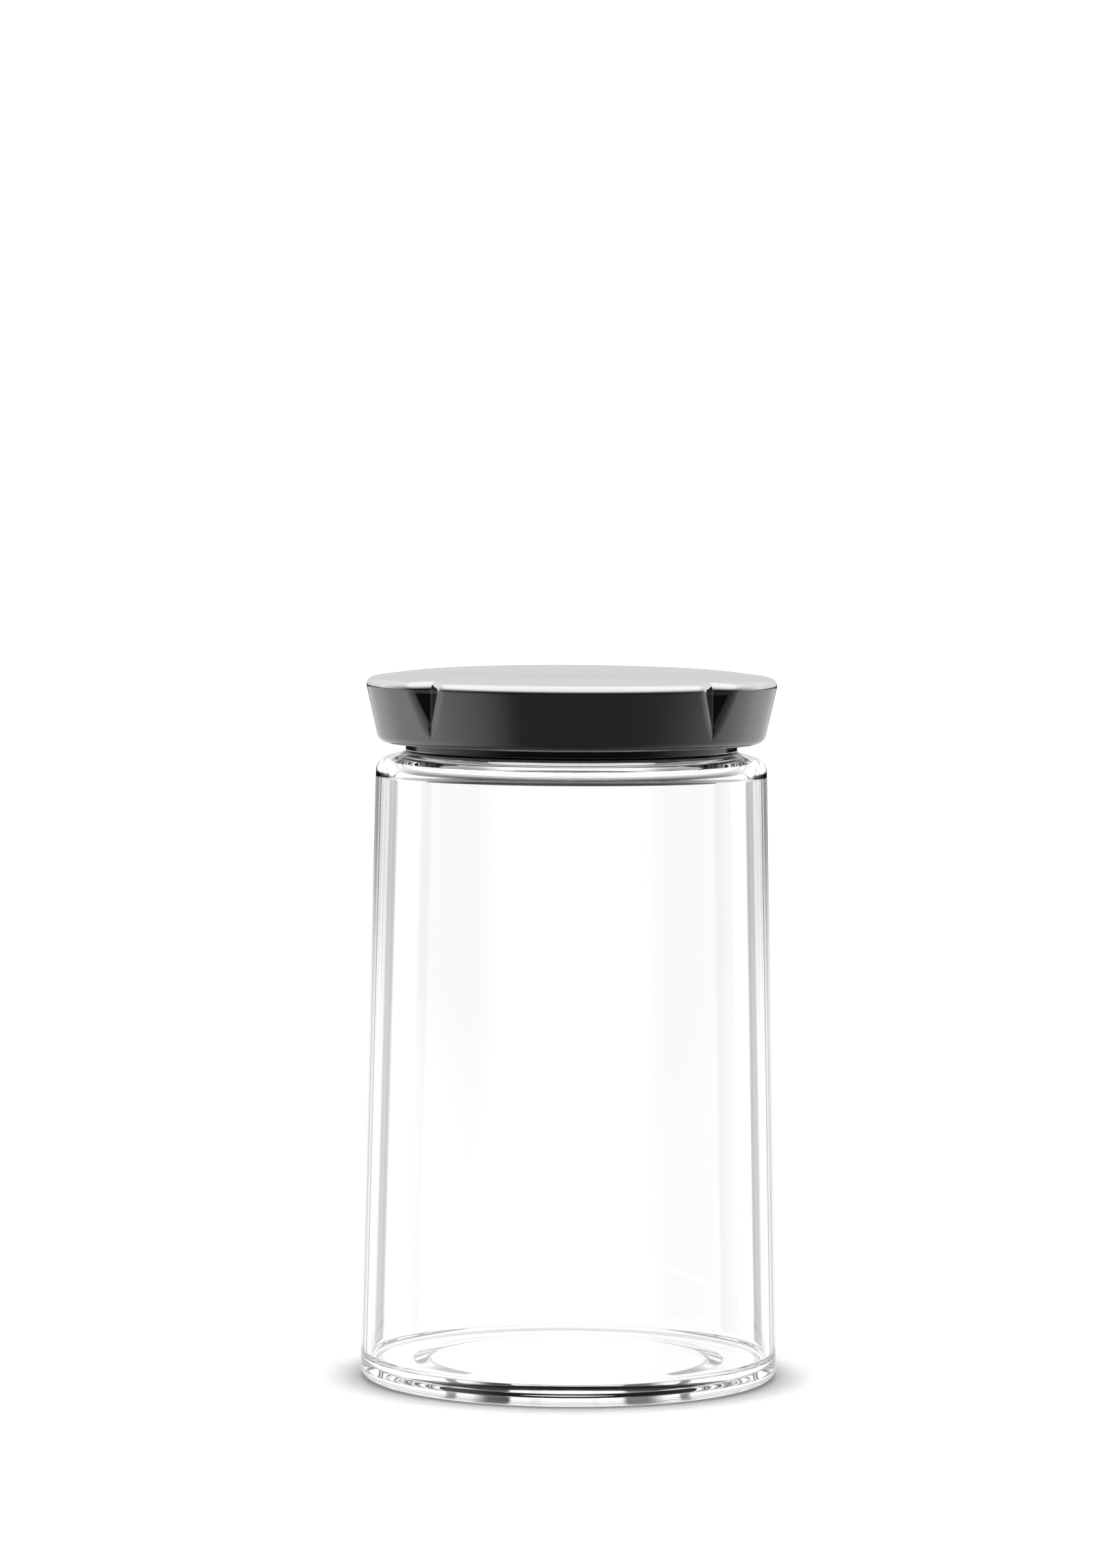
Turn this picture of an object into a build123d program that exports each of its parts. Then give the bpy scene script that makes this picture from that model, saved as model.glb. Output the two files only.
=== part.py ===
from build123d import *
from math import radians, sin, tan

# Lidded glass canister: a tapered clear glass jar closed by a push-in lid.
# The lid is a hollow cover pressed onto a plug, and the plug carries a soft seal ring.
# Millimetres, +Z up. The origin is the centre of the base, on the surface the jar stands on.

# ---- Jar ----
base_r = 52.55  # outer radius of the wall, carried down to z = 0
wall_lean = 1.29  # degrees that the wall leans in towards the top
wall = 2.5
heel_r = 3.0  # rounding between the wall and the foot ring
foot_inner_r = 39.0  # the foot ring runs from here out to the heel
punt_r = 35.0  # flat of the push-up inside the foot ring
punt_depth = 1.6
floor_z = 5.2  # top of the glass floor
floor_corner = 1.8

rim_z = 157.4  # where the slope of the shoulder meets the bore of the mouth
mouth_r = 42.45
mouth_land = 3.3  # height of the straight bore that the seal closes on
shoulder_slope = 16.5  # degrees that the shoulder falls away from the mouth
shoulder_round = 3.5
inner_shoulder_round = 2.6
ceiling_slope = 9.0  # degrees that the underside of the shoulder falls away
mouth_round = 0.7

# ---- Lid cover ----
lid_bottom_z = 160.0
lid_top_z = 178.2  # flat middle of the top
lid_flat_r = 26.5
lid_edge_r = 51.9  # corner between the top and the side, before it is rounded
lid_edge_z = 176.0
lid_flare = 12.7  # degrees that the side leans out towards the top
lid_top_edge = 2.0
lid_bottom_edge = 2.4
cover_wall = 2.2
ceiling_rise = 0.8  # the flutes leave room for the hollow to reach this much above a full wall

flute_count = 4
flute_apex_r = 48.8  # every flute's valley is a vertical line at this radius
flute_half_angle = 67.0
flute_start_depth = 0.3  # depth at which the lower end of a flute begins
flute_valley = 0.4
flute_shoulder_top = 8.5
flute_shoulder_low = 0.3
core_margin = 0.3  # how far the fluted core stands outside the cover's round side

# ---- Plug and seal ----
base_plate_r = 45.4
base_plate = 2.2
collar_top_r = 41.6  # neck between the cover and the glass rim
collar_low_r = 42.4
collar_flare = 0.7  # height over which the collar widens to its foot
plug_r = 35.8
plug_bottom_z = 152.2
plug_lip_r = 36.4
plug_lip = 1.5
plug_wall = 2.0
rib_wall = 1.5
running_gap = 0.05

seal_core_r = 38.4
seal_blade_r = mouth_r - running_gap  # lips that wipe the mouth's bore
seal_blade = 0.5

seal_low_z = plug_bottom_z + plug_lip + running_gap
seal_high_z = rim_z - 0.4
collar_low_z = rim_z + running_gap


def wall_radius(height: float) -> float:
    """Outer radius of the jar's wall."""
    return base_r - height * tan(radians(wall_lean))


def lid_radius(height: float) -> float:
    """Radius of the cover's side between the flutes."""
    return lid_edge_r - (lid_edge_z - height) * tan(radians(lid_flare))


def fluted_outline(height: float, radius: float, apex_r: float, shoulder: float) -> Sketch:
    """Circle with a rounded vee cut in at each flute."""
    reach = 2 * (radius - apex_r)
    half_width = reach * tan(radians(flute_half_angle))
    valley = min(flute_valley, shoulder / 2)
    with BuildSketch(Plane.XY.offset(height).rotated((0, 0, 45))) as outline:
        Circle(radius)
        with PolarLocations(apex_r, flute_count):
            Polygon((0, 0), (reach, -half_width), (reach, half_width), align=None, mode=Mode.SUBTRACT)
        by_radius = outline.vertices().sort_by_distance((0, 0, 0))
        fillet(by_radius[:flute_count], valley)
        by_radius = outline.vertices().sort_by_distance((0, 0, 0))
        fillet(by_radius[-2 * flute_count :], shoulder)
    return outline.sketch


def half_section(points: list[tuple[float, float]], rounding: list[float]) -> Sketch:
    """Section through (radius, height) points, closed straight from the last to the first."""
    with BuildSketch(Plane.XZ) as section:
        with BuildLine():
            outline = FilletPolyline(*points, radius=rounding)
            Line(outline @ 1, outline @ 0)
        make_face()
    return section.sketch


# Glass jar: one hollow solid with a foot ring, a shallow push-up, a rounded shoulder
# and a short straight bore as its mouth.
shoulder_corner_r = wall_radius(rim_z)
shoulder_corner_z = rim_z - (shoulder_corner_r - mouth_r) * tan(radians(shoulder_slope))
ceiling_z = rim_z - mouth_land
inner_corner_r = wall_radius(ceiling_z) - wall
inner_corner_z = ceiling_z - (inner_corner_r - mouth_r) * tan(radians(ceiling_slope))

with BuildPart() as glass_jar:
    section = half_section(
        [
            (0, floor_z),
            (wall_radius(floor_z) - wall, floor_z),
            (inner_corner_r, inner_corner_z),
            (mouth_r, ceiling_z),
            (mouth_r, rim_z),
            (shoulder_corner_r, shoulder_corner_z),
            (base_r, 0),
            (foot_inner_r, 0),
            (punt_r, punt_depth),
            (0, punt_depth),
        ],
        [
            floor_corner,
            inner_shoulder_round,
            mouth_round,
            mouth_round,
            shoulder_round,
            heel_r,
            1.0,
            3.0,
        ],
    )
    revolve(section, axis=Axis.Z)
glass_jar.part.label = "glass_jar"
export_step(glass_jar.part, "parts/glass_jar.step")

# Lid cover: hollow, closed on top, with a side that flares out and four finger flutes.
# The top is flat in the middle and falls away towards its edge. Both edges are round,
# and a ring rib inside grips the plug.
flute_low_z = lid_edge_z - (lid_edge_r - flute_apex_r - flute_start_depth) / tan(radians(lid_flare))
cavity_low_z = lid_bottom_z + base_plate + running_gap
cavity_top_z = lid_edge_z - cover_wall + ceiling_rise
inner_apex_r = flute_apex_r - cover_wall / sin(radians(flute_half_angle))
cup_r = plug_r - plug_wall
rib_r = cup_r - running_gap

with BuildPart() as cavity:
    low_r = lid_radius(cavity_low_z) - cover_wall
    high_r = lid_radius(cavity_top_z) - cover_wall
    low = fluted_outline(cavity_low_z, low_r, min(inner_apex_r, low_r - 0.2), flute_shoulder_low)
    high = fluted_outline(cavity_top_z, high_r, inner_apex_r, flute_shoulder_low)
    loft([low, high], ruled=True)
    with BuildSketch(Plane.XY.offset(lid_bottom_z)):
        Circle(base_plate_r + running_gap)
    extrude(amount=cavity_low_z - lid_bottom_z)
    with BuildSketch(Plane.XY.offset(cavity_top_z)):
        Circle(lid_flat_r + 2)
    extrude(amount=lid_top_z - cover_wall - cavity_top_z)

with BuildPart() as fluted_core:
    low_r = lid_radius(flute_low_z) + core_margin
    high_r = lid_radius(lid_top_z) + core_margin
    low = fluted_outline(flute_low_z, low_r, flute_apex_r, flute_shoulder_low)
    high = fluted_outline(lid_top_z, high_r, flute_apex_r, flute_shoulder_top)
    loft([low, high], ruled=True)
    with BuildSketch(Plane.XY.offset(lid_bottom_z)):
        Circle(lid_edge_r)
    extrude(amount=flute_low_z - lid_bottom_z)

with BuildPart() as lid_cover:
    with BuildSketch(Plane.XZ) as section:
        with BuildLine():
            flat = Line((0, lid_top_z), (lid_flat_r, lid_top_z))
            fall = TangentArc(flat @ 1, (lid_edge_r, lid_edge_z), tangent=(1, 0))
            Polyline(fall @ 1, (lid_radius(lid_bottom_z), lid_bottom_z), (0, lid_bottom_z), flat @ 0)
        make_face()
        outer = section.vertices().sort_by(Axis.X)[-2:].sort_by(Axis.Z)
        fillet(outer[0], lid_bottom_edge)
        outer = section.vertices().sort_by(Axis.X)[-1]
        fillet(outer, lid_top_edge)
    revolve(axis=Axis.Z)
    add(fluted_core.part, mode=Mode.INTERSECT)
    add(cavity.part, mode=Mode.SUBTRACT)
    with BuildSketch(Plane.XY.offset(lid_bottom_z + base_plate)):
        Circle(rib_r)
        Circle(rib_r - rib_wall, mode=Mode.SUBTRACT)
    extrude(until=Until.LAST)
lid_cover.part.label = "lid_cover"
export_step(lid_cover.part, "parts/lid_cover.step")

# Lid plug: a cup with a base plate that closes the cover from below, a flared collar that
# stops on the glass rim, and a groove above its lower lip for the seal ring.
with BuildPart() as lid_plug:
    section = half_section(
        [
            (0, plug_bottom_z),
            (plug_lip_r, plug_bottom_z),
            (plug_lip_r, plug_bottom_z + plug_lip),
            (plug_r, plug_bottom_z + plug_lip),
            (plug_r, collar_low_z),
            (collar_low_r, collar_low_z),
            (collar_top_r, collar_low_z + collar_flare),
            (collar_top_r, lid_bottom_z),
            (base_plate_r, lid_bottom_z),
            (base_plate_r, lid_bottom_z + base_plate),
            (cup_r, lid_bottom_z + base_plate),
            (cup_r, plug_bottom_z + plug_wall),
            (0, plug_bottom_z + plug_wall),
        ],
        [0.3, 0.2, 0, 0, 0.15, 0.3, 0, 0.3, 0, 0, 0.5],
    )
    revolve(section, axis=Axis.Z)
lid_plug.part.label = "lid_plug"
export_step(lid_plug.part, "parts/lid_plug.step")

# Seal ring: clear soft ring round the plug, inside the mouth, with two lips on the bore.
seal_inner_r = plug_r + running_gap
low_lip_z = seal_low_z + 0.3
high_lip_z = seal_high_z - 0.3 - seal_blade

with BuildPart() as seal_ring:
    section = half_section(
        [
            (seal_inner_r, seal_low_z),
            (seal_core_r, seal_low_z),
            (seal_blade_r, low_lip_z),
            (seal_blade_r, low_lip_z + seal_blade),
            (seal_core_r, low_lip_z + seal_blade),
            (seal_core_r, high_lip_z),
            (seal_blade_r, high_lip_z),
            (seal_blade_r, high_lip_z + seal_blade),
            (seal_core_r, seal_high_z),
            (seal_inner_r, seal_high_z),
        ],
        [0.1, 0.1, 0.1, 0.2, 0.2, 0.1, 0.1, 0.1],
    )
    revolve(section, axis=Axis.Z)
seal_ring.part.label = "seal_ring"
export_step(seal_ring.part, "parts/seal_ring.step")
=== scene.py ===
import math

import bmesh
import bpy
from mathutils import Matrix, Vector


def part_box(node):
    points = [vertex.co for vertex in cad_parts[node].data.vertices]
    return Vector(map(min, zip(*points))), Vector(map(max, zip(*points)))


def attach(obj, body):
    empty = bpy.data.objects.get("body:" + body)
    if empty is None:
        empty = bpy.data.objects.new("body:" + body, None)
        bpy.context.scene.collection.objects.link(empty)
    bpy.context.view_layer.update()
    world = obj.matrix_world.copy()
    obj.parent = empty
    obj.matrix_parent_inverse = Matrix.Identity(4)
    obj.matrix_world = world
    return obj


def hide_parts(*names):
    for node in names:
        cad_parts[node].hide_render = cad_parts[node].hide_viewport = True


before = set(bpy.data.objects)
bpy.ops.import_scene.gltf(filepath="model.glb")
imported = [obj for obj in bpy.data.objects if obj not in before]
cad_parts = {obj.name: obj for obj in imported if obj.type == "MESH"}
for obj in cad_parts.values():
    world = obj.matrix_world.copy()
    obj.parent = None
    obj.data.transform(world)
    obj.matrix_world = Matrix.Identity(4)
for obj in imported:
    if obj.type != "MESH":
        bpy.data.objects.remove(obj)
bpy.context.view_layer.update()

MM = 0.001
SEGMENTS = 288  # points on a full turn
ARC_STEP = 7.0  # most degrees between two points of a rounding

# ---------------------------------------------------------------- meshes


def arc_points(before, corner, after, radius):
    """Points of the fillet of that radius at a corner of a profile."""
    corner = Vector(corner)
    to_before = (Vector(before) - corner).normalized()
    to_after = (Vector(after) - corner).normalized()
    half = to_before.angle(to_after) / 2
    reach = radius / math.tan(half)
    centre = corner + (to_before + to_after).normalized() * (radius / math.sin(half))
    start = corner + to_before * reach - centre
    end = corner + to_after * reach - centre
    turn = start.angle_signed(end)
    steps = max(3, math.ceil(abs(math.degrees(turn)) / ARC_STEP))
    found = []
    for i in range(steps + 1):
        spot = centre + Matrix.Rotation(-turn * i / steps, 2) @ start
        found.append((spot.x, spot.y))
    return found


def rounded_profile(points, radii, support=0.3):
    """Profile through (radius, height) points in millimetres with its inner corners rounded.

    Each straight run gets a point close to both its ends, which keeps its shading flat.
    """
    runs = [[points[0]]]
    for i, radius in enumerate(radii, start=1):
        if radius:
            runs.append(arc_points(points[i - 1], points[i], points[i + 1], radius))
        else:
            runs.append([points[i]])
    runs.append([points[-1]])
    profile = list(runs[0])
    for run in runs[1:]:
        a, b = Vector(profile[-1]), Vector(run[0])
        length = (b - a).length
        if length > 4 * support:
            along = (b - a).normalized() * support
            profile += [tuple(a + along), tuple(b - along)]
        profile += run
    return profile


def new_object(name, bm):
    """Turn a bmesh in millimetres into a smooth-shaded object in metres."""
    bmesh.ops.remove_doubles(bm, verts=bm.verts, dist=1e-5)
    bmesh.ops.recalc_face_normals(bm, faces=bm.faces)
    mesh = bpy.data.meshes.new(name)
    bm.to_mesh(mesh)
    bm.free()
    mesh.transform(Matrix.Scale(MM, 4))
    mesh.shade_smooth()
    piece = bpy.data.objects.new(name, mesh)
    bpy.context.scene.collection.objects.link(piece)
    return piece


def skin_rows(bm, rows):
    """Join rows of points around the axis with quads. A one-point row is a pole."""
    made = [[bm.verts.new(p) for p in row] for row in rows]
    for low, high in zip(made, made[1:]):
        count = max(len(low), len(high))
        for i in range(count):
            j = (i + 1) % count
            if len(low) == 1:
                bm.faces.new((low[0], high[j], high[i]))
            elif len(high) == 1:
                bm.faces.new((low[i], low[j], high[0]))
            else:
                bm.faces.new((low[i], low[j], high[j], high[i]))


def ring(radius, height):
    """Row of points on a circle about the axis, or the one point on the axis."""
    if radius < 1e-6:
        return [(0, 0, height)]
    turn = 2 * math.pi / SEGMENTS
    return [(radius * math.cos(turn * i), radius * math.sin(turn * i), height) for i in range(SEGMENTS)]


def lathe(name, profile, closed):
    """Solid of revolution of a profile; a closed profile is a ring that never meets the axis."""
    bm = bmesh.new()
    rows = [ring(r, z) for r, z in profile]
    if closed:
        rows.append(rows[0])
    skin_rows(bm, rows)
    return new_object(name, bm)


# ---------------------------------------------------------------- shape of each piece (mm)

JAR_BOX, LID_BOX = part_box("glass_jar"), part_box("lid_cover")
PLUG_BOX, SEAL_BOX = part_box("lid_plug"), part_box("seal_ring")

GAP = 0.05  # between pieces that fit into each other
BASE_R = JAR_BOX[1].x / MM + 0.07  # the heel's rounding takes 0.07 off this corner
RIM_Z = JAR_BOX[1].z / MM + 0.24  # and the mouth's rounding takes 0.24 off this one
LEAN = math.tan(math.radians(1.29))
WALL, MOUTH_R, MOUTH_LAND = 2.5, 42.45, 3.3
SHOULDER_SLOPE, CEILING_SLOPE = math.radians(16.5), math.radians(9)
FLOOR_Z, FOOT_INNER_R, PUNT_R, PUNT_DEPTH = 5.2, 39.0, 35.0, 1.6

LID_LOW, LID_HIGH = LID_BOX[0].z / MM, LID_BOX[1].z / MM
FALL = 2.2  # from the flat middle of the top down to its edge
EDGE_R, EDGE_Z = LID_BOX[1].x / MM + 0.42, LID_HIGH - FALL  # the top edge's rounding takes 0.42 off
FLAT_R = 26.5
FALL_R = ((EDGE_R - FLAT_R) ** 2 + FALL**2) / (2 * FALL)
FLARE = math.radians(12.7)
TOP_ROUND, LOW_ROUND = 2.0, 2.4
COVER_WALL, POCKET_R = 2.2, 28.5
RIB_WALL = 1.5

PLUG_LOW, PLUG_HIGH, PLATE_R = PLUG_BOX[0].z / MM, PLUG_BOX[1].z / MM, PLUG_BOX[1].x / MM
PLUG_R, PLUG_WALL = 35.8, 2
PLUG_LIP_R, PLUG_LIP = 36.4, 1.5
COLLAR_LOW_R, COLLAR_TOP_R, COLLAR_FOOT = 42.4, 41.6, 0.75
SEAL_LOW, SEAL_HIGH, BLADE_R = SEAL_BOX[0].z / MM, SEAL_BOX[1].z / MM, SEAL_BOX[1].x / MM
SEAL_CORE_R, BLADE, BLADE_INSET = 38.4, 0.5, 0.3


def wall_radius(z):
    """Outer radius of the jar's wall."""
    return BASE_R - z * LEAN


def make_jar():
    top_r = wall_radius(RIM_Z)
    shoulder_z = RIM_Z - (top_r - MOUTH_R) * math.tan(SHOULDER_SLOPE)
    ceiling_z = RIM_Z - MOUTH_LAND
    inner_r = wall_radius(ceiling_z) - WALL
    inner_z = ceiling_z - (inner_r - MOUTH_R) * math.tan(CEILING_SLOPE)
    points = [
        (0, FLOOR_Z),
        (wall_radius(FLOOR_Z) - WALL, FLOOR_Z),
        (inner_r, inner_z),
        (MOUTH_R, ceiling_z),
        (MOUTH_R, RIM_Z),
        (top_r, shoulder_z),
        (BASE_R, 0),
        (FOOT_INNER_R, 0),
        (PUNT_R, PUNT_DEPTH),
        (0, PUNT_DEPTH),
    ]
    profile = rounded_profile(points, [1.8, 2.6, 0.7, 0.7, 3.5, 3.0, 1.0, 3.0])
    return lathe("glass_jar_clear", profile, closed=False)


def make_plug():
    points = [
        (0, PLUG_LOW),
        (PLUG_LIP_R, PLUG_LOW),
        (PLUG_LIP_R, PLUG_LOW + PLUG_LIP),
        (PLUG_R, PLUG_LOW + PLUG_LIP),
        (PLUG_R, RIM_Z + GAP),
        (COLLAR_LOW_R, RIM_Z + GAP),
        (COLLAR_TOP_R, RIM_Z + COLLAR_FOOT),
        (COLLAR_TOP_R, LID_LOW),
        (PLATE_R, LID_LOW),
        (PLATE_R, PLUG_HIGH),
        (PLUG_R - PLUG_WALL, PLUG_HIGH),
        (PLUG_R - PLUG_WALL, PLUG_LOW + PLUG_WALL),
        (0, PLUG_LOW + PLUG_WALL),
    ]
    profile = rounded_profile(points, [0.3, 0.2, 0, 0, 0.15, 0.3, 0, 0.3, 0, 0, 0.5])
    return lathe("lid_plug_moulding", profile, closed=False)


def make_seal():
    inner_r = PLUG_R + GAP
    points = [
        (inner_r, SEAL_LOW),
        (SEAL_CORE_R, SEAL_LOW),
        (BLADE_R, SEAL_LOW + BLADE_INSET),
        (BLADE_R, SEAL_LOW + BLADE_INSET + BLADE),
        (SEAL_CORE_R, SEAL_LOW + BLADE_INSET + BLADE),
        (SEAL_CORE_R, SEAL_HIGH - BLADE_INSET - BLADE),
        (BLADE_R, SEAL_HIGH - BLADE_INSET - BLADE),
        (BLADE_R, SEAL_HIGH - BLADE_INSET),
        (SEAL_CORE_R, SEAL_HIGH),
        (inner_r, SEAL_HIGH),
    ]
    profile = rounded_profile(points, [0.1, 0.1, 0.1, 0.2, 0.2, 0.1, 0.1, 0.1], support=0.1)
    return lathe("seal_ring_silicone", profile, closed=True)


FLUTE_APEX, FLUTE_HALF = 48.8, math.radians(67)
FLUTE_SOFT = 0.85  # how far from the corner the flank starts to blend into the side
VALLEY_SOFT = 0.0018  # radians over which the bottom of a flute is rounded
NO_FLUTE = 1e3
FLUTES, FINE_REACH, FINE_STEPS, COARSE_STEPS = 4, math.radians(10), 120, 36


def lid_angles():
    """Angles round one turn, close together at the flutes."""
    pitch = 2 * math.pi / FLUTES
    rest = pitch - 2 * FINE_REACH
    found = []
    for flute in range(FLUTES):
        centre = pitch / 2 + flute * pitch
        found += [centre - FINE_REACH + 2 * FINE_REACH * i / FINE_STEPS for i in range(FINE_STEPS)]
        found += [centre + FINE_REACH + rest * i / COARSE_STEPS for i in range(COARSE_STEPS)]
    return found


def flute_radius(angle):
    """Distance from the axis to the straight flanks of the nearest flute."""
    off = abs((angle % (math.pi / 2)) - math.pi / 4)
    off = math.sqrt(off * off + VALLEY_SOFT**2)
    if off > FLUTE_HALF * 0.6:
        return NO_FLUTE
    return FLUTE_APEX * math.sin(FLUTE_HALF) / math.sin(FLUTE_HALF - off)


def soft_min(a, b, reach):
    """The smaller of a and b, rounded where they are nearly equal."""
    near = max(reach - abs(a - b), 0) / reach
    return min(a, b) - near * near * reach / 4


def side_outline(side_r, angles, inset=0.0):
    """Fluted outline of that radius, moved inwards by inset along its own normals."""
    deep = max(side_r - FLUTE_APEX, 0.0)
    reach = max(min(FLUTE_SOFT, 1.1 * deep), 0.02)
    radii = [soft_min(side_r, flute_radius(a), reach) if deep else side_r for a in angles]
    spots = [Vector((r * math.cos(a), r * math.sin(a))) for r, a in zip(radii, angles)]
    if not inset:
        return spots
    moved = []
    for i, spot in enumerate(spots):
        along = (spots[(i + 1) % len(spots)] - spots[i - 1]).normalized()
        moved.append(spot + Vector((-along.y, along.x)) * inset)
    return moved


def lid_side(z):
    """Radius of the cover's side between the flutes."""
    return EDGE_R - (EDGE_Z - z) * math.tan(FLARE)


def lid_top(r):
    """Height of the cover's top: flat in the middle, falling away to the edge."""
    if r <= FLAT_R:
        return LID_HIGH
    return LID_HIGH - FALL_R + math.sqrt(FALL_R**2 - (r - FLAT_R) ** 2)


def level(spots, z):
    """Row of points at one height."""
    return [(p.x, p.y, z) for p in spots]


def circle(angles, r, z):
    """Row of points on a circle, at the angles that every row of the cover has."""
    return [(r * math.cos(a), r * math.sin(a), z) for a in angles]


def top_edge(steps=14):
    """Rounding of the top edge in section, from where it leaves the top to where it meets the side."""
    slope = math.asin((EDGE_R - FLAT_R) / FALL_R)
    inward = Vector((-math.cos(slope), math.sin(slope)))
    down = Vector((-math.sin(FLARE), -math.cos(FLARE)))
    half = inward.angle(down) / 2
    centre = Vector((EDGE_R, EDGE_Z)) + (inward + down).normalized() * (TOP_ROUND / math.sin(half))
    first, last = math.pi / 2 - slope, -FLARE
    edge = []
    for i in range(steps + 1):
        turn = first + (last - first) * i / steps
        edge.append(centre + Vector((math.cos(turn), math.sin(turn))) * TOP_ROUND)
    return edge


def top_rows(angles, edge):
    """The cover's top, from its middle out to the foot of its rounded edge."""
    side_r = edge[-1].x
    outline = side_outline(side_r, angles)
    spread = side_r - edge[0].x
    rows = [[(0, 0, LID_HIGH)]]
    rows += [circle(angles, r, lid_top(r)) for r in (7, 14, 20, 26, 27, 30, 33, 36, 39, 41, 43)]
    for extra in (1.0, 0.6, 0.3, 0.1):
        spots = side_outline(side_r, angles, spread + extra)
        rows.append([(p.x, p.y, lid_top(p.length)) for p in spots])
    for i, spot in enumerate(edge):
        spots = side_outline(side_r, angles, side_r - spot.x)
        fade = 1 - (i / (len(edge) - 1)) ** 2
        row = []
        for p, q in zip(spots, outline):
            lift = lid_top(q.length - spread) - lid_top(side_r - spread)
            row.append((p.x, p.y, spot.y + lift * fade))
        rows.append(row)
    return rows


def side_rows(angles, side_z, steps=24):
    """The cover's fluted side, and the round edge below it."""
    z_low = LID_LOW + 2.0
    rows = []
    for i in range(1, steps + 1):
        z = side_z + (z_low - side_z) * i / steps
        rows.append(level(side_outline(lid_side(z), angles), z))
    foot = rounded_profile(
        [(lid_side(z_low), z_low), (lid_side(LID_LOW), LID_LOW), (PLATE_R + GAP, LID_LOW)],
        [LOW_ROUND],
    )[1:]
    return rows + [circle(angles, r, z) for r, z in foot]


def inside_rows(angles):
    """The cover's hollow: the seat of the base plate, the walls, the ring rib and the ceiling."""
    inside = PLUG_HIGH + GAP
    ceiling = EDGE_Z - 1.4
    pocket = LID_HIGH - COVER_WALL
    rib = PLUG_R - PLUG_WALL - GAP
    rows = [circle(angles, PLATE_R + GAP, inside)]
    rows.append(level(side_outline(lid_side(inside), angles, COVER_WALL), inside))
    rows.append(level(side_outline(lid_side(ceiling), angles, 2.4), ceiling))
    for r, z in (
        (rib, ceiling),
        (rib, PLUG_HIGH),
        (rib - RIB_WALL, PLUG_HIGH),
        (rib - RIB_WALL, ceiling),
        (POCKET_R, ceiling),
        (POCKET_R, pocket),
    ):
        rows.append(circle(angles, r, z))
    return rows + [[(0, 0, pocket)]]


def make_cover():
    angles = lid_angles()
    edge = top_edge()
    bm = bmesh.new()
    skin_rows(bm, top_rows(angles, edge) + side_rows(angles, edge[-1].y) + inside_rows(angles))
    return new_object("lid_cover_gloss", bm)


# ---------------------------------------------------------------- materials


def shader(name, colour, ior):
    """New material and its Principled node, with what is the same all over the surface."""
    material = bpy.data.materials.new(name)
    material.use_nodes = True
    bsdf = material.node_tree.nodes["Principled BSDF"]
    bsdf.inputs["Base Color"].default_value = (*colour, 1)
    bsdf.inputs["IOR"].default_value = ior
    return material, bsdf


def vary(material, bsdf, scale, low, high, ripple=0.0, stretch=(1, 1, 1)):
    """Roughness that drifts between two values over the surface, with a faint ripple in its height."""
    nodes, links = material.node_tree.nodes, material.node_tree.links
    where = nodes.new("ShaderNodeTexCoord")
    mapping = nodes.new("ShaderNodeMapping")
    mapping.inputs["Scale"].default_value = stretch
    links.new(where.outputs["Object"], mapping.inputs["Vector"])
    noise = nodes.new("ShaderNodeTexNoise")
    noise.inputs["Scale"].default_value = scale
    noise.inputs["Detail"].default_value = 5.0
    links.new(mapping.outputs["Vector"], noise.inputs["Vector"])
    ramp = nodes.new("ShaderNodeMapRange")
    ramp.inputs["To Min"].default_value = low
    ramp.inputs["To Max"].default_value = high
    links.new(noise.outputs["Fac"], ramp.inputs["Value"])
    links.new(ramp.outputs["Result"], bsdf.inputs["Roughness"])
    if ripple:
        bump = nodes.new("ShaderNodeBump")
        bump.inputs["Strength"].default_value = 1.0
        bump.inputs["Distance"].default_value = ripple
        links.new(noise.outputs["Fac"], bump.inputs["Height"])
        links.new(bump.outputs["Normal"], bsdf.inputs["Normal"])


def clear_glass():
    material, bsdf = shader("clear_glass_visual", (0.993, 0.996, 0.995), 1.5)
    bsdf.inputs["Transmission Weight"].default_value = 1.0
    vary(material, bsdf, 18.0, 0.0, 0.004, ripple=4e-6, stretch=(1, 1, 0.35))
    return material


def gloss_black():
    material, bsdf = shader("gloss_black_visual", (0.0035, 0.0035, 0.004), 1.5)
    vary(material, bsdf, 160.0, 0.03, 0.06)
    return material


def satin_black():
    material, bsdf = shader("satin_black_visual", (0.003, 0.003, 0.003), 1.47)
    vary(material, bsdf, 220.0, 0.06, 0.12)
    return material


def clear_silicone():
    material, bsdf = shader("clear_silicone_visual", (0.95, 0.955, 0.955), 1.41)
    bsdf.inputs["Transmission Weight"].default_value = 1.0
    vary(material, bsdf, 300.0, 0.08, 0.18)
    return material


# ---------------------------------------------------------------- studio


BACKDROP = 1.45  # behind the object, as it is seen directly
ROOM = 1.28  # light on the floor
BEYOND = 1.34  # behind the object, as it is seen through the glass
TOP_LIGHT, SIDE_LIGHT = 1.03, 2.6
UNDER_LEVEL, UNDER_KEY, UNDER_LEFT, UNDER_RIGHT = 0.45, 1.5, 0.5, 0.35

# A gloss surface's shine: 0.04 face on, and rising by this power to 0.94 at a glancing angle.
SHINE_FACING, SHINE_RISE, SHINE_POWER = 0.04, 0.9, 4.4

# Grey flags behind the jar. Only rays that come through the glass see them, and they draw its
# edges. Each is between two sideways directions: start, full, fade, end, and how dark it is.
FLAGS = (
    (-0.165, -0.19, -0.25, -0.34, 0.85),
    (-0.37, -0.385, -0.41, -0.43, 0.8),
    (-0.074, -0.08, -0.09, -0.095, 0.1),
    (0.175, 0.19, 0.25, 0.34, 0.95),
    (0.37, 0.385, 0.41, 0.43, 0.8),
    (0.078, 0.084, 0.112, 0.122, 0.12),
)

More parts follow.
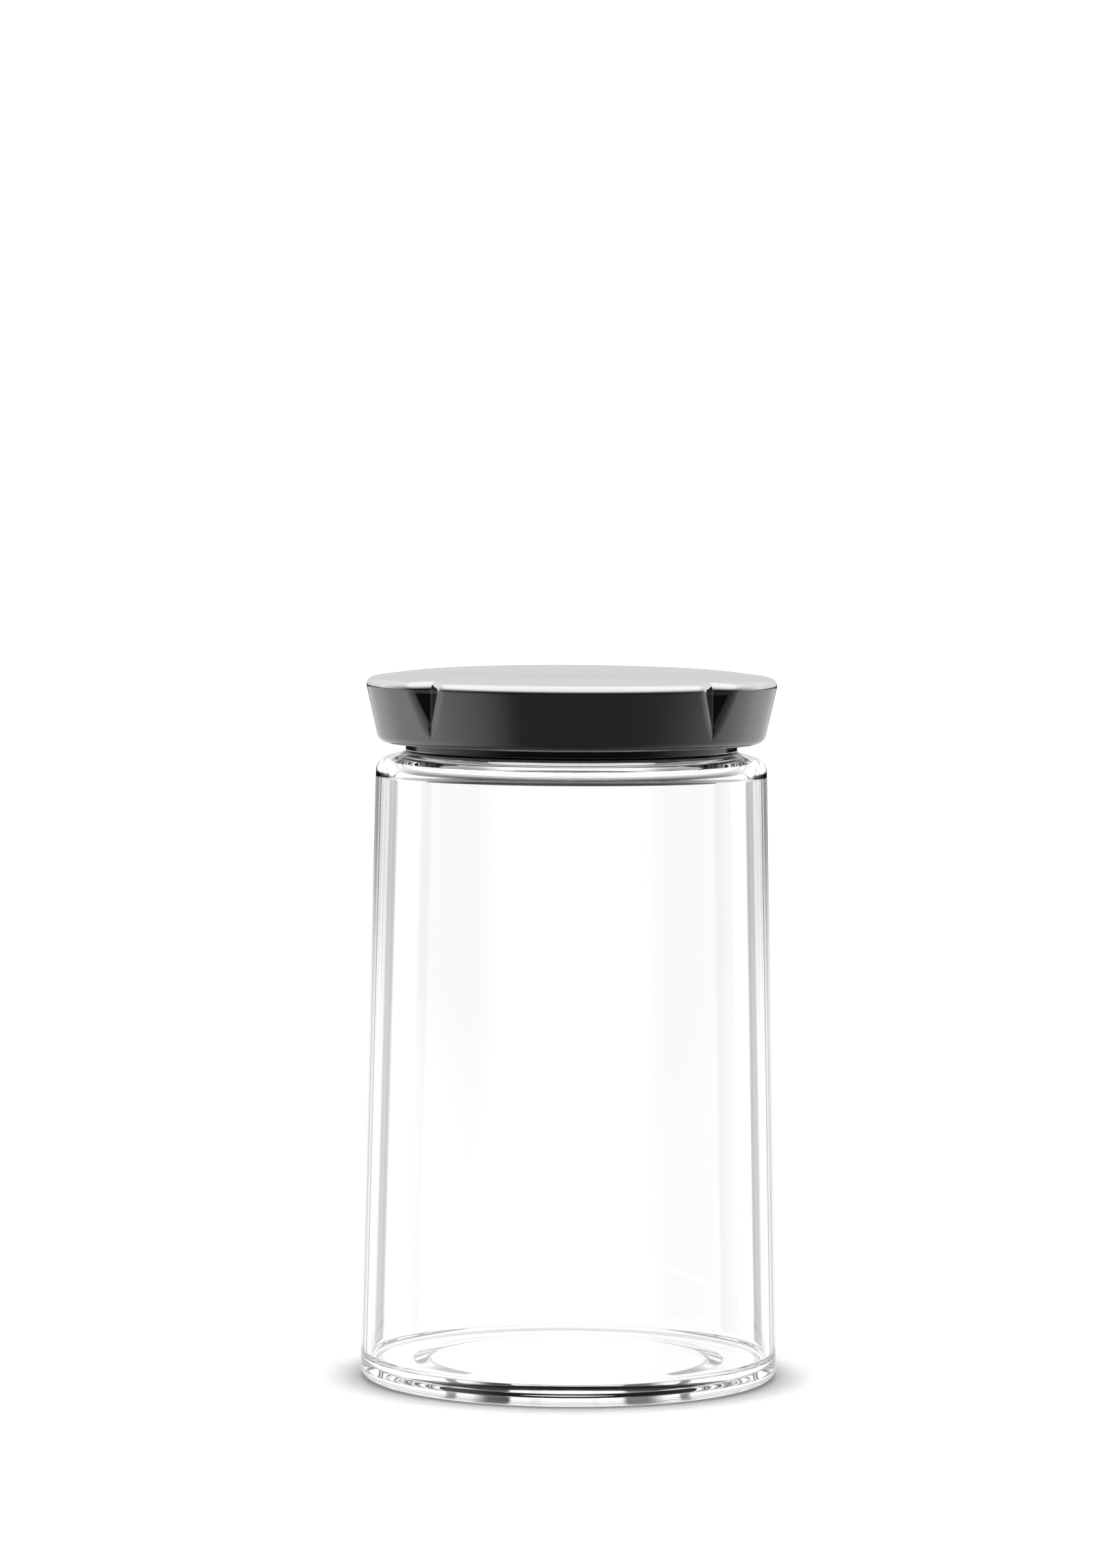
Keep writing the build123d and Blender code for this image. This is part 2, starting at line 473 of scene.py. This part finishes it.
FLOOR_TONE, FLOOR_GLOW = 0.94, 0.14
CONTACT_REACH, CONTACT_TONE = 0.012, 0.45  # metres, and how dark the painted contact shadow makes the floor at the jar
CONTACT_FULL, CONTACT_NONE = 0.45, 0.97  # open share of the sky at which it is darkest and gone


class WorldNodes:
    """Short names for the nodes that shape the world's light by its direction."""

    def __init__(self, tree):
        self.nodes, self.links = tree.nodes, tree.links
        self.nodes.clear()
        self.where = self.nodes.new("ShaderNodeTexCoord").outputs["Generated"]
        split = self.nodes.new("ShaderNodeSeparateXYZ")
        self.links.new(self.where, split.inputs[0])
        self.x, self.y, self.z = split.outputs
        self.path = self.nodes.new("ShaderNodeLightPath").outputs

    def feed(self, socket, value):
        """Set a socket to a number, or link a value to it."""
        if isinstance(value, (int, float)):
            socket.default_value = value
        else:
            self.links.new(value, socket)

    def calc(self, kind, *values):
        node = self.nodes.new("ShaderNodeMath")
        node.operation = kind
        for socket, value in zip(node.inputs, values):
            self.feed(socket, value)
        return node.outputs[0]

    def add(self, a, b):
        return self.calc("ADD", a, b)

    def times(self, a, b):
        return self.calc("MULTIPLY", a, b)

    def rest(self, value):
        """What is left of 1."""
        return self.calc("SUBTRACT", 1.0, value)

    def step(self, value, low, high):
        """0 at low, 1 at high, smooth between them."""
        ramp = self.nodes.new("ShaderNodeMapRange")
        ramp.interpolation_type = "SMOOTHSTEP"
        ramp.inputs["From Min"].default_value = min(low, high)
        ramp.inputs["From Max"].default_value = max(low, high)
        ramp.inputs["To Min"].default_value = 0.0 if high > low else 1.0
        ramp.inputs["To Max"].default_value = 1.0 if high > low else 0.0
        self.links.new(value, ramp.inputs["Value"])
        return ramp.outputs["Result"]

    def lobe(self, azimuth, elevation, inner, outer):
        """1 within inner degrees of a direction, 0 beyond outer. Azimuth 0 is -Y and 90 is +X."""
        a, e = math.radians(azimuth), math.radians(elevation)
        dot = self.nodes.new("ShaderNodeVectorMath")
        dot.operation = "DOT_PRODUCT"
        self.links.new(self.where, dot.inputs[0])
        dot.inputs[1].default_value = (math.cos(e) * math.sin(a), -math.cos(e) * math.cos(a), math.sin(e))
        outer_edge, inner_edge = math.cos(math.radians(outer)), math.cos(math.radians(inner))
        return self.step(dot.outputs["Value"], outer_edge, inner_edge)

    def pick(self, kind, yes, no):
        """One value for rays of a kind, and another for the rest."""
        mix = self.nodes.new("ShaderNodeMix")
        mix.data_type = "FLOAT"
        self.links.new(self.path[kind], mix.inputs["Factor"])
        self.feed(mix.inputs["A"], no)
        self.feed(mix.inputs["B"], yes)
        return mix.outputs["Result"]


def overhead_light(w):
    """Soft box overhead. It undoes most of the shine's rise, so that the lid's top is an even tone."""
    nearness = w.calc("SQRT", w.times(w.calc("SUBTRACT", 1.001, w.y), 0.5))
    shine = w.calc("POWER", w.rest(nearness), SHINE_POWER)
    shine = w.add(w.times(shine, SHINE_RISE), SHINE_FACING)
    near = w.step(w.y, 0.9, 0.2)
    rise_near = w.times(w.step(w.z, 0.05, 0.75), near)
    rise_far = w.times(w.step(w.z, -0.05, 0.02), w.rest(near))
    top = w.times(w.calc("DIVIDE", TOP_LIGHT, shine), w.add(rise_near, rise_far))
    top = w.times(top, w.add(w.times(w.step(w.z, 0.03, 0.35), 0.16), 0.84))
    first_bounce = w.step(w.path["Glossy Depth"], 1.6, 1.4)
    return w.times(top, first_bounce)


def wall_light(w):
    """Pale walls at the sides. Far back they shine only below the horizon, on the lid's side."""
    strength = w.add(w.times(w.step(w.y, -0.75, 0.3), 0.55), w.times(w.step(w.y, 0.55, 0.97), -0.35))
    far = w.step(w.y, 0.70, 0.76)
    near_part = w.times(w.step(w.z, 0.5, 0.1), w.rest(far))
    far_part = w.times(w.step(w.z, -0.065, -0.1), far)
    return w.times(w.times(strength, w.add(near_part, far_part)), SIDE_LIGHT)


def floor_light(w):
    """What stands in for the floor in reflections: brighter to the left, and dim straight down."""
    under = w.times(w.lobe(-80, -24, 6, 46), UNDER_KEY)
    under = w.add(under, w.times(w.lobe(150, -28, 5, 50), UNDER_RIGHT))
    under = w.add(under, w.times(w.lobe(-150, -30, 5, 40), UNDER_LEFT))
    under = w.add(under, UNDER_LEVEL)
    under = w.times(under, w.step(w.z, -0.055, -0.085))
    return w.times(under, w.rest(w.times(w.step(w.z, -0.6, -0.85), 0.8)))


def light_through_glass(w):
    """White all round, with the grey flags and a dimmer patch at each side."""
    shade = w.times(w.add(w.lobe(-80, 0, 10, 40), w.lobe(80, 0, 10, 40)), 0.7)
    for start, full, fade, end, amount in FLAGS:
        flag = w.times(w.step(w.x, start, full), w.step(w.x, end, fade))
        flag = w.times(flag, w.step(w.y, 0.5, 0.7))
        shade = w.add(shade, w.times(flag, amount))
    return w.times(w.rest(shade), BEYOND)


def make_world():
    """White studio, dark where the viewer stands, with its own light for each kind of ray."""
    world = bpy.data.worlds.new("studio")
    bpy.context.scene.world = world
    world.use_nodes = True
    w = WorldNodes(world.node_tree)
    reflected = w.add(w.add(overhead_light(w), wall_light(w)), floor_light(w))
    strength = w.pick("Is Glossy Ray", reflected, w.pick("Is Camera Ray", BACKDROP, ROOM))
    strength = w.pick("Is Transmission Ray", light_through_glass(w), strength)
    background = w.nodes.new("ShaderNodeBackground")
    w.links.new(strength, background.inputs["Strength"])
    output = w.nodes.new("ShaderNodeOutputWorld")
    w.links.new(background.outputs[0], output.inputs["Surface"])


def floor_material():
    """Pale matt floor with a painted contact shadow, which only the camera sees: ambient occlusion
    darkens its colour and glow near the jar.
    """
    material, bsdf = shader("floor_pale", (0.9, 0.9, 0.9), 1.5)
    bsdf.inputs["Roughness"].default_value = 1.0
    bsdf.inputs["Specular IOR Level"].default_value = 0.0
    bsdf.inputs["Emission Strength"].default_value = FLOOR_GLOW
    nodes, links = material.node_tree.nodes, material.node_tree.links
    # Painted contact shadow: ambient occlusion near the jar darkens the floor's colour and its glow
    contact = nodes.new("ShaderNodeAmbientOcclusion")
    contact.inputs["Distance"].default_value = CONTACT_REACH
    tone = nodes.new("ShaderNodeMapRange")
    tone.inputs["From Min"].default_value = CONTACT_FULL
    tone.inputs["From Max"].default_value = CONTACT_NONE
    tone.inputs["To Min"].default_value = CONTACT_TONE
    links.new(contact.outputs["AO"], tone.inputs["Value"])
    path = nodes.new("ShaderNodeLightPath")
    seen = nodes.new("ShaderNodeMix")
    seen.data_type = "FLOAT"
    seen.inputs["A"].default_value = FLOOR_TONE
    links.new(path.outputs["Is Camera Ray"], seen.inputs["Factor"])
    links.new(tone.outputs["Result"], seen.inputs["B"])
    # Painted shadow: the darkened tone becomes both the floor's colour and the colour of its glow
    painted_shadow_colour = nodes.new("ShaderNodeCombineColor")
    for socket in painted_shadow_colour.inputs[:3]:
        links.new(seen.outputs["Result"], socket)
    links.new(painted_shadow_colour.outputs["Color"], bsdf.inputs["Base Color"])
    links.new(painted_shadow_colour.outputs["Color"], bsdf.inputs["Emission Color"])
    return material


def make_floor():
    """Floor plane. Reflections and the glass see the world in its place."""
    bm = bmesh.new()
    bmesh.ops.create_grid(bm, x_segments=1, y_segments=1, size=4000)
    floor = new_object("floor", bm)
    floor.data.materials.append(floor_material())
    floor.visible_glossy = False
    floor.visible_transmission = False


LENS, SENSOR = 137.64, 36.0
CAMERA_PLACE = (0, -1.5026, 0.24017)
PAN, TILT, ROLL = math.radians(0.166), math.radians(90 - 3.455), math.radians(0.292)


def make_camera():
    """Camera 1.5 m in front and a little above the lid, tilted down."""
    camera = bpy.data.objects.new("camera", bpy.data.cameras.new("camera"))
    bpy.context.scene.collection.objects.link(camera)
    camera.data.lens = LENS
    camera.data.sensor_width = SENSOR
    camera.data.clip_end = 20
    turn = Matrix.Rotation(PAN, 4, "Z") @ Matrix.Rotation(TILT, 4, "X") @ Matrix.Rotation(ROLL, 4, "Z")
    camera.matrix_world = Matrix.Translation(CAMERA_PLACE) @ turn
    bpy.context.scene.camera = camera


# ---------------------------------------------------------------- build

PIECES = (
    (make_jar, clear_glass, "jar", "glass_jar", "clear_glass"),
    (make_cover, gloss_black, "lid", "lid_cover", "gloss_black"),
    (make_plug, satin_black, "lid", "lid_plug", "satin_black"),
    (make_seal, clear_silicone, "seal", "seal_ring", "clear_silicone"),
)
for make, finish, body, node, slot in PIECES:
    piece = make()
    piece.data.materials.append(finish())
    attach(piece, body)
    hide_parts(node)

make_floor()
make_world()
make_camera()
scene = bpy.context.scene
scene.view_settings.view_transform = "Standard"
scene.cycles.max_bounces = 24
scene.cycles.transmission_bounces = 24
scene.cycles.glossy_bounces = 12

bpy.context.view_layer.update()
